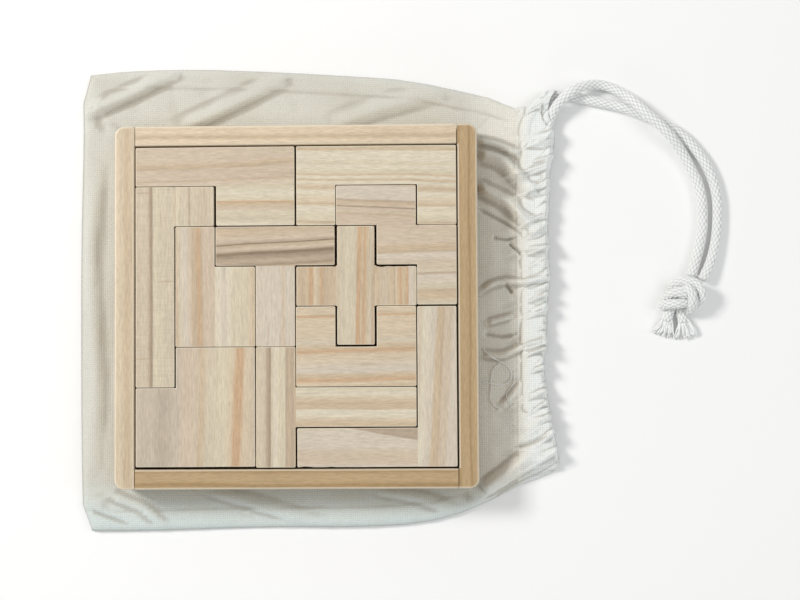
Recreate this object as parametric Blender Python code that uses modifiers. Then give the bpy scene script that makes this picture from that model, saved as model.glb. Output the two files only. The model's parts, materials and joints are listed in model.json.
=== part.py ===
"""Polyomino packing puzzle: glued wooden tiles in a square tray, lying on its cotton drawstring bag.

Metres, +Z up.  The origin is under the middle of the tray, on the surface that the bag rests on.
+Y points to the tray's back rail and +X to the drawn end of the bag.
"""

import math

import bmesh
import bpy
from mathutils import Matrix, Vector

# Driving dimensions
GAP = 0.0003  # air between any two touching pieces
CELLS = 8  # the tray holds CELLS x CELLS unit squares
PITCH = 0.01665  # one unit square with its share of the play
TILE_THICKNESS = 0.0150
TILE_EDGE = 0.0004  # broken edge of a sawn block
TRAY_SIDE = 0.1500
TRAY_CORNER = 0.0039
BASE_THICKNESS = 0.0040
RAIL_HEIGHT = 0.0144
RAIL_EDGE = 0.0009
BAG_LAYER = 0.0016  # one side of the bag, as a plain slab
CORD_RADIUS = 0.00225

# The casing is the sleeve along the bag's drawn end
CASING_INNER_X = 0.0925
CASING_OUTER = [  # its outer edge, from the closed front corner to the mouth
    (0.0925, -0.0742), (0.1010, -0.0722), (0.1068, -0.0690), (0.1089, -0.0635), (0.1079, -0.0540),
    (0.1060, -0.0400), (0.1048, -0.0170), (0.1048, 0.0080), (0.1054, 0.0300), (0.1064, 0.0500),
    (0.1076, 0.0620), (0.1083, 0.0680), (0.1090, 0.0750),
]
CASING_OUTER_POINTS = 30
CASING_HEIGHT = 0.0070
CASING_ROUND = 0.0016
CLOTH_WALL = 0.0006
TUNNEL_HEIGHT = 0.0052
CORD_LEVEL = 0.0035  # height of the cord inside the casing
LEG_END_Y = 0.0680  # where the hidden cord meets the free ends, just inside the mouth

# Heights derived from the stack: bag, tray base, tiles
TRAY_Z = 2 * BAG_LAYER + 2 * GAP
DECK_Z = TRAY_Z + BASE_THICKNESS + GAP
WELL_SIDE = CELLS * PITCH + GAP
RAIL_WIDTH = (TRAY_SIDE - WELL_SIDE) / 2

# Free edge of the bag, from the back end of the casing round to its front end
BAG_EDGE = [
    (0.0922, 0.0838), (0.0809, 0.0886), (0.0666, 0.0921), (0.0446, 0.0966), (0.0153, 0.0990),
    (-0.0196, 0.1011), (-0.0508, 0.1021), (-0.0828, 0.1009), (-0.0908, 0.0985), (-0.0922, 0.0895),
    (-0.0921, 0.0700), (-0.0929, 0.0254), (-0.0928, -0.0382), (-0.0921, -0.0820),
    (-0.0908, -0.0918), (-0.0840, -0.0933), (-0.0580, -0.0930), (-0.0141, -0.0919),
    (0.0292, -0.0918), (0.0552, -0.0896), (0.0740, -0.0838), (0.0922, -0.0747),
]

# Routes of the two free ends of the drawstring, from the casing's mouth to the knot
STRAND_A_ROUTE = [
    (0.1049, 0.0686, 0.0035), (0.1051, 0.0720, 0.0035), (0.1054, 0.0762, 0.0037),
    (0.1066, 0.0805, 0.0044), (0.1088, 0.0843, 0.0060), (0.1119, 0.0876, 0.0072),
    (0.1155, 0.0904, 0.0075), (0.1200, 0.0925, 0.0058), (0.1257, 0.0936, 0.0032),
    (0.1312, 0.0927, 0.0024), (0.1367, 0.0897, 0.0034), (0.1409, 0.0862, 0.0058),
    (0.1450, 0.0820, 0.0072), (0.1502, 0.0772, 0.0075), (0.1551, 0.0724, 0.0068),
    (0.1591, 0.0678, 0.0048), (0.1627, 0.0625, 0.0029), (0.1659, 0.0564, 0.0023),
    (0.1681, 0.0515, 0.0023), (0.1697, 0.0435, 0.0023), (0.1698, 0.0340, 0.0023),
    (0.1686, 0.0259, 0.0023), (0.1668, 0.0192, 0.0026), (0.1645, 0.0121, 0.0034),
]
STRAND_B_ROUTE = [
    (0.0960, 0.0684, 0.0035), (0.0960, 0.0720, 0.0035), (0.0964, 0.0762, 0.0035),
    (0.0983, 0.0810, 0.0034), (0.1020, 0.0856, 0.0030), (0.1070, 0.0889, 0.0024),
    (0.1125, 0.0895, 0.0023), (0.1175, 0.0885, 0.0023), (0.1250, 0.0867, 0.0023),
    (0.1319, 0.0852, 0.0023), (0.1379, 0.0836, 0.0023), (0.1428, 0.0816, 0.0023),
    (0.1484, 0.0792, 0.0023), (0.1540, 0.0767, 0.0023), (0.1592, 0.0739, 0.0023),
    (0.1638, 0.0699, 0.0023), (0.1683, 0.0645, 0.0023), (0.1720, 0.0586, 0.0023),
    (0.1745, 0.0521, 0.0023), (0.1760, 0.0440, 0.0023), (0.1759, 0.0340, 0.0023),
    (0.1747, 0.0250, 0.0024), (0.1723, 0.0170, 0.0030), (0.1691, 0.0106, 0.0040),
]
STRAND_POINTS = 24
HIDDEN_POINTS = 32

KNOT_CENTRE = (0.1612, 0.0050, 0.0048)
KNOT_SIZE = (0.0184, 0.0118, 0.0096)
KNOT_TURN = math.radians(28)
TAIL_LENGTH = 0.0122
TAIL_WIDTH = 0.0076
TAILS = {  # start of each tail under the knot, and the direction it points in
    "cord_tail_a": ((0.1550, -0.0011), math.radians(-112)),
    "cord_tail_b": ((0.1603, -0.0016), math.radians(-76)),
}

# Each tile's glued blocks, as first column, back row, columns, rows; row 0 lies at the back rail
TILES = {
    "ramp": {"ramp_bar": (0, 0, 4, 1), "ramp_foot": (2, 1, 2, 1)},
    "bridge": {
        "bridge_bar": (4, 0, 4, 1),
        "bridge_left_foot": (4, 1, 1, 1),
        "bridge_right_foot": (7, 1, 1, 1),
    },
    "thumb": {"thumb_bar": (0, 1, 1, 5), "thumb_cube": (1, 1, 1, 1)},
    "stair": {
        "stair_top": (5, 1, 2, 1),
        "stair_middle": (6, 2, 2, 1),
        "stair_foot": (7, 3, 1, 1),
    },
    "tee": {"tee_bar": (2, 2, 3, 1), "tee_stem": (3, 3, 1, 2)},
    "flag": {"flag_long_bar": (1, 2, 1, 3), "flag_short_bar": (2, 3, 1, 2)},
    "plus": {
        "plus_bar": (5, 2, 1, 3),
        "plus_left_arm": (4, 3, 1, 1),
        "plus_right_arm": (6, 3, 1, 1),
    },
    "cup": {
        "cup_base": (4, 5, 3, 1),
        "cup_left_wall": (4, 4, 1, 1),
        "cup_right_wall": (6, 4, 1, 1),
    },
    "big": {"big_top": (1, 5, 2, 1), "big_body": (0, 6, 3, 2)},
    "hammer": {"hammer_head": (3, 5, 1, 3), "hammer_handle": (4, 6, 3, 1)},
    "angle": {"angle_long_arm": (7, 4, 1, 4), "angle_short_arm": (4, 7, 3, 1)},
}

# Linear colours of the woods and of the cotton
TILE_COLOURS = {
    "ramp": (0.60, 0.47, 0.34),
    "bridge": (0.70, 0.62, 0.48),
    "thumb": (0.65, 0.55, 0.42),
    "stair": (0.60, 0.49, 0.37),
    "tee": (0.56, 0.44, 0.33),
    "flag": (0.62, 0.52, 0.39),
    "plus": (0.59, 0.47, 0.34),
    "cup": (0.63, 0.52, 0.38),
    "big": (0.57, 0.49, 0.37),
    "hammer": (0.62, 0.52, 0.38),
    "angle": (0.61, 0.51, 0.38),
}
RAIL_COLOURS = {
    "rail_left": (0.66, 0.55, 0.40),
    "rail_right": (0.47, 0.34, 0.20),
    "rail_back": (0.68, 0.55, 0.42),
    "rail_front": (0.41, 0.28, 0.15),
}
PLYWOOD = (0.62, 0.50, 0.36)
COTTON = (0.72, 0.70, 0.62)
CORD_COTTON = (0.82, 0.83, 0.81)


def clear_scene():
    for existing in list(bpy.data.objects):
        bpy.data.objects.remove(existing, do_unlink=True)


def new_collection(name):
    collection = bpy.data.collections.new(name)
    bpy.context.scene.collection.children.link(collection)
    return collection


clear_scene()
PARTS = new_collection("packing_puzzle")
CUTTERS = new_collection("cutters")


def principled(name, colour, roughness):
    material = bpy.data.materials.new(name)
    material.use_nodes = True
    shader = material.node_tree.nodes["Principled BSDF"]
    shader.inputs["Base Color"].default_value = (*colour, 1)
    shader.inputs["Roughness"].default_value = roughness
    shader.inputs["Metallic"].default_value = 0
    return material


def finish_part(part, colour, roughness, parent):
    """Links a part, gives it its own material and hangs it on its body's empty."""
    PARTS.objects.link(part)
    part.data.materials.clear()
    part.data.materials.append(principled(part.name, colour, roughness))
    part.parent = parent
    part.matrix_parent_inverse = Matrix.Translation(-Vector(parent.location)) if parent else Matrix()
    return part


def body_frame(name, location):
    """An empty on the line that its body is lifted along."""
    frame = bpy.data.objects.new(name, None)
    frame.location = location
    frame.empty_display_size = PITCH
    PARTS.objects.link(frame)
    return frame


def box_between(low, high):
    """A bmesh box from its lowest corner to its highest one."""
    low, high = Vector(low), Vector(high)
    bm = bmesh.new()
    bmesh.ops.create_cube(bm, size=1)
    bmesh.ops.scale(bm, vec=high - low, verts=bm.verts)
    return bm


def object_from(bm, name, location):
    mesh = bpy.data.meshes.new(name)
    bm.to_mesh(mesh)
    bm.free()
    made = bpy.data.objects.new(name, mesh)
    made.location = location
    return made


def round_uprights(bm, radius, segments, chosen):
    """Rounds the vertical edges whose middles pass the test."""
    uprights = []
    for edge in bm.edges:
        start, end = edge.verts[0].co, edge.verts[1].co
        upright = abs(start.x - end.x) < GAP and abs(start.y - end.y) < GAP
        if upright and chosen((start + end) / 2):
            uprights.append(edge)
    bmesh.ops.bevel(bm, geom=uprights, offset=radius, segments=segments, profile=0.5, affect="EDGES")


def add_bevel(part, width, segments):
    bevel = part.modifiers.new("broken_edges", "BEVEL")
    bevel.width = width
    bevel.segments = segments
    bevel.limit_method = "ANGLE"
    bevel.angle_limit = math.radians(40)


def wooden_box(name, low, high, edge, colour, parent, corner=None):
    """A plank or block; corner is a test for the uprights that have the tray's corner radius."""
    bm = box_between(low, high)
    if corner:
        round_uprights(bm, TRAY_CORNER, 5, corner)
    part = object_from(bm, name, (Vector(low) + Vector(high)) / 2)
    add_bevel(part, edge, 1)
    return finish_part(part, colour, 0.5, parent)


def smooth_points(route, count):
    """count points at even steps along the Catmull-Rom curve through the route's points."""
    knots = [Vector(point).to_3d() for point in route]
    knots = [2 * knots[0] - knots[1], *knots, 2 * knots[-1] - knots[-2]]
    fine = []
    for a, b, c, d in zip(knots, knots[1:], knots[2:], knots[3:]):
        for step in range(16):
            t = step / 16
            fine.append(
                b
                + (c - a) * (t / 2)
                + (2 * a - 5 * b + 4 * c - d) * (t * t / 2)
                + (3 * b - a - 3 * c + d) * (t * t * t / 2)
            )
    fine.append(knots[-2])
    reach = [0.0]
    for before, after in zip(fine, fine[1:]):
        reach.append(reach[-1] + (after - before).length)
    points = []
    at = 0
    for step in range(count):
        wanted = reach[-1] * step / (count - 1)
        while at < len(fine) - 2 and reach[at + 1] < wanted:
            at += 1
        share = (wanted - reach[at]) / (reach[at + 1] - reach[at])
        points.append(fine[at].lerp(fine[at + 1], share))
    return points


def curve_object(name, points, closed, dimensions):
    curve = bpy.data.curves.new(name, "CURVE")
    curve.dimensions = dimensions
    spline = curve.splines.new("POLY")
    spline.points.add(len(points) - 1)
    for point, place in zip(spline.points, points):
        point.co = (*place, 1)
    spline.use_cyclic_u = closed
    return bpy.data.objects.new(name, curve)


def bag_panel(name, bottom):
    """One side of the bag: its outline extruded to the thickness of the slab."""
    outline = [Vector((*point, 0)) for point in BAG_EDGE[:1]]
    outline += smooth_points(BAG_EDGE, 2 * len(BAG_EDGE))[1:]
    panel = curve_object(name, outline, True, "2D")
    panel.data.fill_mode = "BOTH"
    panel.data.extrude = BAG_LAYER / 2
    panel.location = (0, 0, bottom + BAG_LAYER / 2)
    return finish_part(panel, COTTON, 0.95, None)


def mesh_from_curve(curve):
    """A mesh object in the curve object's place, with its caps welded on."""
    bpy.context.scene.collection.objects.link(curve)
    bpy.context.view_layer.update()
    evaluated = curve.evaluated_get(bpy.context.evaluated_depsgraph_get())
    mesh = bpy.data.meshes.new_from_object(evaluated)
    name, matrix = curve.name, curve.matrix_world.copy()
    bpy.data.objects.remove(curve, do_unlink=True)
    bm = bmesh.new()
    bm.from_mesh(mesh)
    bmesh.ops.remove_doubles(bm, verts=bm.verts, dist=0.00001)
    bm.to_mesh(mesh)
    bm.free()
    made = bpy.data.objects.new(name, mesh)
    made.matrix_world = matrix
    return made


def casing_slab(name, wall, mouth_y, height, rounding):
    """The casing's outline drawn in by a wall's thickness and extruded about the cord's level."""
    outer = smooth_points(CASING_OUTER, CASING_OUTER_POINTS)
    outline = []
    for before, point, after in zip([outer[0], *outer], outer, [*outer[1:], outer[-1]]):
        along = (after - before).normalized()
        inward = Vector((-along.y, along.x, 0))
        outline.append(point + inward * wall)
    outline[0] = Vector((CASING_INNER_X + wall, outline[1].y, 0))
    outline[-1].y = mouth_y
    outline.append(Vector((CASING_INNER_X + wall, mouth_y, 0)))
    slab = curve_object(name, outline, True, "2D")
    slab.data.fill_mode = "BOTH"
    slab.data.extrude = height / 2 - rounding
    slab.data.offset = -rounding
    slab.data.bevel_depth = rounding
    slab.data.bevel_resolution = 2
    slab.location = (0, 0, CORD_LEVEL)
    return mesh_from_curve(slab)


def hem_casing():
    """The sleeve that the drawstring runs in, closed at the bag's front corner."""
    mouth_y = CASING_OUTER[-1][1]
    casing = casing_slab("hem_casing", 0, mouth_y, CASING_HEIGHT, CASING_ROUND)
    cutter = casing_slab("casing_tunnel", CLOTH_WALL, mouth_y + CASING_HEIGHT, TUNNEL_HEIGHT, 0)
    CUTTERS.objects.link(cutter)
    cutter.hide_render = True
    cutter.display_type = "WIRE"

    tunnel = casing.modifiers.new("tunnel", "BOOLEAN")
    tunnel.operation = "DIFFERENCE"
    tunnel.solver = "EXACT"
    tunnel.object = cutter
    return finish_part(casing, COTTON, 0.95, None)


def cord_tube(name, points):
    tube = curve_object(name, points, False, "3D")
    tube.data.bevel_depth = CORD_RADIUS
    tube.data.bevel_resolution = 2
    tube.data.use_fill_caps = True
    return finish_part(tube, CORD_COTTON, 0.9, None)


def hidden_drawstring():
    """The length inside the casing: down its inner side, round the closed end, up its outer side."""
    inset = CLOTH_WALL + GAP + CORD_RADIUS
    near_x = CASING_INNER_X + inset + GAP
    far_side = [
        Vector((x - inset - GAP, y, 0)) for x, y in CASING_OUTER[3:] if y <= LEG_END_Y
    ]
    turn_x = (near_x + far_side[0].x) / 2
    turn_radius = far_side[0].x - turn_x
    turn = [
        Vector((
            turn_x + turn_radius * math.cos(angle),
            far_side[0].y + turn_radius * math.sin(angle),
            0,
        ))
        for angle in (math.radians(a) for a in (180, 210, 240, 270, 300, 330))
    ]
    route = [Vector((near_x, LEG_END_Y, 0)), Vector((near_x, 0.0300, 0)), Vector((near_x, -0.0200, 0))]
    route += turn + far_side
    points = [point + Vector((0, 0, CORD_LEVEL)) for point in smooth_points(route, HIDDEN_POINTS)]
    return cord_tube("drawstring_in_casing", points)


def drawstring_knot():
    """A plain egg of the overhand knot's outer size."""
    bm = bmesh.new()
    bmesh.ops.create_uvsphere(bm, u_segments=16, v_segments=10, radius=0.5)
    bmesh.ops.scale(bm, vec=KNOT_SIZE, verts=bm.verts)
    bmesh.ops.rotate(bm, matrix=Matrix.Rotation(KNOT_TURN, 3, "Z"), verts=bm.verts)
    knot = object_from(bm, "drawstring_knot", KNOT_CENTRE)
    knot.data.shade_smooth()
    return finish_part(knot, CORD_COTTON, 0.9, None)


def cord_tail(name, start, heading):
    """A frayed end below the knot, as a cone that widens and flattens away from it."""
    bm = bmesh.new()
    bmesh.ops.create_cone(
        bm,
        cap_ends=True,
        segments=12,
        radius1=CORD_RADIUS,
        radius2=TAIL_WIDTH / 2,
        depth=TAIL_LENGTH,
    )
    bmesh.ops.scale(bm, vec=(1, 0.6, 1), verts=bm.verts)
    along = Vector((math.cos(heading), math.sin(heading), 0))
    across = Vector((-math.sin(heading), math.cos(heading), 0))
    lay_down = Matrix((across, Vector((0, 0, 1)), along)).transposed()
    bmesh.ops.rotate(bm, matrix=lay_down, verts=bm.verts)
    height = 0.6 * TAIL_WIDTH / 2
    centre = Vector((*start, height)) + along * (TAIL_LENGTH / 2)
    return finish_part(object_from(bm, name, centre), CORD_COTTON, 0.9, None)


def build_bag():
    bag_panel("bag_back_panel", 0)
    bag_panel("bag_front_panel", BAG_LAYER + GAP)
    hem_casing()
    hidden_drawstring()
    cord_tube("drawstring_strand_a", smooth_points(STRAND_A_ROUTE, STRAND_POINTS))
    cord_tube("drawstring_strand_b", smooth_points(STRAND_B_ROUTE, STRAND_POINTS))
    drawstring_knot()
    for name, (start, heading) in TAILS.items():
        cord_tail(name, start, heading)


def build_tray():
    """A base panel with two full-length side rails and two rails butted between them."""
    half = TRAY_SIDE / 2
    well = WELL_SIDE / 2
    top = DECK_Z + RAIL_HEIGHT
    tray = body_frame("tray", (0, 0, TRAY_Z))
    wooden_box(
        "tray_base",
        (-half, -half, TRAY_Z),
        (half, half, TRAY_Z + BASE_THICKNESS),
        GAP,
        PLYWOOD,
        tray,
        corner=lambda middle: True,
    )
    boxes = {
        "rail_left": ((-half, -half, DECK_Z), (-well, half, top)),
        "rail_right": ((well, -half, DECK_Z), (half, half, top)),
        "rail_back": ((-well + GAP, well, DECK_Z), (well - GAP, half, top)),
        "rail_front": ((-well + GAP, -half, DECK_Z), (well - GAP, -well, top)),
    }
    outer = {
        "rail_left": lambda middle: middle.x < 0,
        "rail_right": lambda middle: middle.x > 0,
    }
    for name, (low, high) in boxes.items():
        wooden_box(name, low, high, RAIL_EDGE, RAIL_COLOURS[name], tray, corner=outer.get(name))


def block_corners(column, row, columns, rows):
    """Lowest and highest corner of a block that fills these unit squares, less half the play."""
    left = (column - CELLS / 2) * PITCH + GAP / 2
    back = (CELLS / 2 - row) * PITCH - GAP / 2
    right = left + columns * PITCH - GAP
    front = back - rows * PITCH + GAP
    floor = DECK_Z
    return (left, front, floor), (right, back, floor + TILE_THICKNESS)


def build_tiles():
    for tile, blocks in TILES.items():
        corners = {name: block_corners(*cells) for name, cells in blocks.items()}
        first_low, first_high = next(iter(corners.values()))
        middle = (Vector(first_low) + Vector(first_high)) / 2
        frame = body_frame(tile + "_tile", (middle.x, middle.y, DECK_Z))
        for name, (low, high) in corners.items():
            wooden_box(name, low, high, TILE_EDGE, TILE_COLOURS[tile], frame)


build_bag()
build_tray()
build_tiles()
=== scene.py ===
"""Looks of the polyomino packing puzzle: wooden tiles in their tray, on a cotton drawstring bag.

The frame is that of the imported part: +Z up, origin under the middle of the tray, +Y towards the
back rail and +X towards the bag's drawn end.  Meshes are in metres; the tables of the bag and the
cord are in millimetres.
"""

import json
import math
import random

import bmesh
import bpy
import numpy as np
from mathutils import Matrix, Vector, noise


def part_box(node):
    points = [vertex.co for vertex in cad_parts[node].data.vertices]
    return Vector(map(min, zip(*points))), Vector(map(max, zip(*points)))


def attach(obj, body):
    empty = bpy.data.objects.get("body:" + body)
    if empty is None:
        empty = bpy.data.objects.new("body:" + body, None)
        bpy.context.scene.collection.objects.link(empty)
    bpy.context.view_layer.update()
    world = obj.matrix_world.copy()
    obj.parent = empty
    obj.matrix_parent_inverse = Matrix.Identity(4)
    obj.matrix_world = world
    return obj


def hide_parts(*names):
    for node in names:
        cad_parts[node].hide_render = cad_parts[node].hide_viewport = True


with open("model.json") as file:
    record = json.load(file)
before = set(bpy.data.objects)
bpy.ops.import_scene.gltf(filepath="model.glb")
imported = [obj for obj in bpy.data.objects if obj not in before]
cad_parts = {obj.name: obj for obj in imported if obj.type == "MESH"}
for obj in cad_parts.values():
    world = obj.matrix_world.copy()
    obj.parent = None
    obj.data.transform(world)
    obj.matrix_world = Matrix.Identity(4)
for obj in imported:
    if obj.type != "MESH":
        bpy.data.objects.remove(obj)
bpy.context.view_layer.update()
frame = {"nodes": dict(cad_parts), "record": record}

MM = 0.001
CELLS = 8
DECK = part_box("ramp_bar")[0].z  # where the tiles stand
TILE_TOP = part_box("ramp_bar")[1].z
TRAY_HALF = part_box("rail_right")[1].x
WELL_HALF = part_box("rail_right")[0].x
PITCH = (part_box("bridge_bar")[1].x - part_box("ramp_bar")[0].x) / CELLS
TRAY_CORNER = 3.9 * MM

THREAD = 0.90 * MM  # spacing of the threads in the bag's cloth
CLOTH = 0.45 * MM
BAG_LENGTH, BAG_WIDTH = 186, 190  # the cloth's flat size in millimetres
CLEARANCE = 0.25  # millimetres of air between the cloth and the tray
EDGE_ROLL = 3.4  # how far in from a sewn edge the cloth rolls down, in millimetres
HEM_SEAM = 92.2  # where the sleeve's seam runs, in millimetres along X

CORD_DIAMETER = 0.0045
CORD_LEVEL = 3.5  # height of the cord inside the sleeve, in millimetres
INNER_LEG = 95.95  # where the cord's inner leg runs in the sleeve
FLOOR_GAP = 0.1 * MM
YARNS = 7  # yarns that run each way round the braid
BRAID_PITCH = 1.45 * MM  # length of cord from one yarn to the next

# Routes of the two free ends of the drawstring, as the part's source has them
STRAND_A_ROUTE = [
    (104.9, 68.6, 3.5), (105.1, 72, 3.5), (105.4, 76.2, 3.7), (106.6, 80.5, 4.4),
    (108.8, 84.3, 6), (111.9, 87.6, 7.2), (115.5, 90.4, 7.5), (120, 92.5, 5.8),
    (125.7, 93.6, 3.2), (131.2, 92.7, 2.4), (136.7, 89.7, 3.4), (140.9, 86.2, 5.8),
    (145, 82, 7.2), (150.2, 77.2, 7.5), (155.1, 72.4, 6.8), (159.1, 67.8, 4.8),
    (162.7, 62.5, 2.9), (165.9, 56.4, 2.3), (168.1, 51.5, 2.3), (169.7, 43.5, 2.3),
    (169.8, 34, 2.3), (168.6, 25.9, 2.3), (166.8, 19.2, 2.6), (164.5, 12.1, 3.4),
]
STRAND_B_ROUTE = [
    (96, 68.4, 3.5), (96, 72, 3.5), (96.4, 76.2, 3.5), (98.3, 81, 3.4), (102, 85.6, 3),
    (107, 88.9, 2.4), (112.5, 89.5, 2.3), (117.5, 88.5, 2.3), (125, 86.7, 2.3),
    (131.9, 85.2, 2.3), (137.9, 83.6, 2.3), (142.8, 81.6, 2.3), (148.4, 79.2, 2.3),
    (154, 76.7, 2.3), (159.2, 73.9, 2.3), (163.8, 69.9, 2.3), (168.3, 64.5, 2.3),
    (172, 58.6, 2.3), (174.5, 52.1, 2.3), (176, 44, 2.3), (175.9, 34, 2.3),
    (174.7, 25, 2.4), (172.3, 17, 3), (169.1, 10.6, 4),
]


# ------ shared helpers


def srgb(red, green, blue):
    """Linear colour from 0-255 display values."""
    values = [v / 255 for v in (red, green, blue)]
    return [v / 12.92 if v < 0.04045 else ((v + 0.055) / 1.055) ** 2.4 for v in values]


def new_object(name, bm, material):
    mesh = bpy.data.meshes.new(name)
    bm.to_mesh(mesh)
    bm.free()
    made = bpy.data.objects.new(name, mesh)
    bpy.context.scene.collection.objects.link(made)
    mesh.shade_smooth()
    mesh.materials.append(material)
    return made


def tube_object(name, bm, material):
    bmesh.ops.recalc_face_normals(bm, faces=bm.faces)
    return new_object(name, bm, material)


def belongs(piece, body, slot, *nodes):
    """Moves a piece with its body and hides the CAD blocks it stands for; its slot is not used."""
    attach(piece, body)
    if nodes:
        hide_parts(*nodes)


def skin(bm, rings):
    """Faces between closed rings of vertices, with a cap on the first and on the last ring."""
    count = len(rings[0])
    for lower, upper in zip(rings, rings[1:]):
        for j in range(count):
            m = (j + 1) % count
            bm.faces.new((lower[j], lower[m], upper[m], upper[j]))
    bm.faces.new(list(reversed(rings[0])))
    bm.faces.new(rings[-1])


def lengths_along(points):
    return np.concatenate([[0], np.cumsum(np.linalg.norm(np.diff(points, axis=0), axis=1))])


def smooth_points(route, count):
    """count points at even steps along the Catmull-Rom curve through the route's points."""
    knots = [Vector(point).to_3d() for point in route]
    knots = [2 * knots[0] - knots[1], *knots, 2 * knots[-1] - knots[-2]]
    fine = []
    for a, b, c, d in zip(knots, knots[1:], knots[2:], knots[3:]):
        for step in range(16):
            t = step / 16
            fine.append(
                b
                + (c - a) * (t / 2)
                + (2 * a - 5 * b + 4 * c - d) * (t * t / 2)
                + (3 * b - a - 3 * c + d) * (t * t * t / 2)
            )
    fine.append(knots[-2])
    fine = np.array(fine)
    reach = lengths_along(fine)
    wanted = np.linspace(0, reach[-1], count)
    return np.stack([np.interp(wanted, reach, fine[:, k]) for k in range(3)], axis=1)


def soft_step(value, low, high):
    t = np.clip((value - low) / (high - low), 0, 1)
    return t * t * (3 - 2 * t)


def rolled(distance, reach):
    """Share of the full height near an edge that rolls down over its reach."""
    return np.sqrt(1 - (1 - np.clip(distance / reach, 0, 1)) ** 2)


def lattice(x, y, seed):
    """Smooth noise in -1..1 over arrays of places, scaled so that one unit is one bump."""
    flat = [noise.noise(Vector((a, b, seed))) for a, b in zip(x.ravel(), y.ravel())]
    return np.array(flat).reshape(x.shape)


class Nodes:
    """A material's node tree, with one short call for each kind of node."""

    def __init__(self, name):
        self.material = bpy.data.materials.new(name)
        self.material.use_nodes = True
        self.tree = self.material.node_tree
        self.tree.nodes.clear()
        self.shader = self.new("BsdfPrincipled", {})
        self.new("OutputMaterial", {"Surface": self.shader.outputs[0]})
        self.coords = self.new("TexCoord", {}).outputs["Object"]

    def new(self, kind, sockets, **settings):
        """A node with its settings, and with a value or a link in each socket that is given."""
        node = self.tree.nodes.new("ShaderNode" + kind)
        for key, value in settings.items():
            setattr(node, key, value)
        for key, value in sockets.items():
            if value is not None:
                self.put(node.inputs[key], value)
        return node

    def put(self, socket, value):
        if isinstance(value, bpy.types.NodeSocket):
            self.tree.links.new(value, socket)
        else:
            socket.default_value = value

    def noise(self, scale, detail, rough=0.5, source=None, move=(0, 0, 0)):
        scale = scale if isinstance(scale, tuple) else (scale,) * 3
        place = self.mapping(source or self.coords, scale=scale, move=move)
        sockets = {"Vector": place, "Scale": 1.0, "Detail": detail, "Roughness": rough}
        return self.new("TexNoise", sockets).outputs["Fac"]

    def mapping(self, source, scale=(1, 1, 1), turn=(0, 0, 0), move=(0, 0, 0)):
        sockets = {"Vector": source, "Scale": scale, "Rotation": turn, "Location": move}
        return self.new("Mapping", sockets).outputs[0]

    def math(self, operation, *values):
        return self.new("Math", dict(enumerate(values)), operation=operation).outputs[0]

    def add(self, a, b):
        return self.math("ADD", a, b)

    def sub(self, a, b):
        return self.math("SUBTRACT", a, b)

    def mul(self, a, b):
        return self.math("MULTIPLY", a, b)

    def split(self, source):
        return self.new("SeparateXYZ", {0: source}).outputs

    def attribute(self, name):
        return self.new("Attribute", {}, attribute_name=name).outputs["Fac"]

    def ramp(self, source, stops):
        node = self.new("ValToRGB", {0: source})
        node.color_ramp.interpolation = "EASE"
        elements = node.color_ramp.elements
        while len(elements) < len(stops):
            elements.new(0.5)
        for element, (position, colour) in zip(elements, stops):
            element.position = position
            element.color = (*colour, 1)
        return node.outputs[0]

    def remap(self, source, low, high, to_low=0.0, to_high=1.0):
        sockets = dict(enumerate((source, low, high, to_low, to_high)))
        return self.new("MapRange", sockets).outputs[0]

    def mix(self, share, a, b):
        node = self.new("Mix", {"Factor": share}, data_type="RGBA")
        colours = [socket for socket in node.inputs if socket.type == "RGBA"]
        for socket, value in zip(colours, (a, b)):
            self.put(socket, value if isinstance(value, bpy.types.NodeSocket) else (*value, 1))
        return [socket for socket in node.outputs if socket.type == "RGBA"][0]

    def tinted(self, colour, source, low, high, share, tint):
        """The colour with a tint mixed in: none where the source is low, its share where high."""
        return self.mix(self.remap(source, low, high, 0.0, share), colour, srgb(*tint))

    def scaled(self, colour, value):
        sockets = {0: colour, "Scale": value}
        return self.new("VectorMath", sockets, operation="SCALE").outputs[0]

    def bump(self, height, distance, strength, normal=None):
        sockets = {"Strength": strength, "Distance": distance, "Height": height, "Normal": normal}
        return self.new("Bump", sockets).outputs[0]

    def cotton_sheen(self, weight, roughness):
        self.put(self.shader.inputs["Sheen Weight"], weight)
        self.put(self.shader.inputs["Sheen Roughness"], roughness)
        self.put(self.shader.inputs["Specular IOR Level"], 0.25)

    def finish(self, colour, roughness, normal=None):
        self.put(self.shader.inputs["Base Color"], colour)
        self.put(self.shader.inputs["Roughness"], roughness)
        if normal:
            self.put(self.shader.inputs["Normal"], normal)
        return self.material


# ------ wood

TONES = {name: srgb(*colour) for name, colour in {
    "cream": (219, 208, 186), "straw": (212, 200, 174), "beige": (208, 194, 171),
    "pale": (210, 197, 179), "sand": (205, 188, 165), "blush": (206, 187, 165),
    "peach": (212, 194, 167), "honey": (203, 182, 153), "tan": (195, 174, 147),
    "rust": (200, 168, 134), "clay": (187, 167, 145), "grey": (197, 183, 164),
    "slate": (187, 173, 154), "umber": (165, 146, 124), "brown": (142, 122, 101),
    "gold": (187, 160, 121), "bronze": (168, 139, 98), "apricot": (222, 202, 174),
}.items()}


def tone_stops(text):
    """Stops of a colour ramp from text such as "0 cream 40 tan 100 cream", in percent."""
    words = text.split()
    return [(int(percent) / 100, TONES[tone]) for percent, tone in zip(words[::2], words[1::2])]


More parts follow.
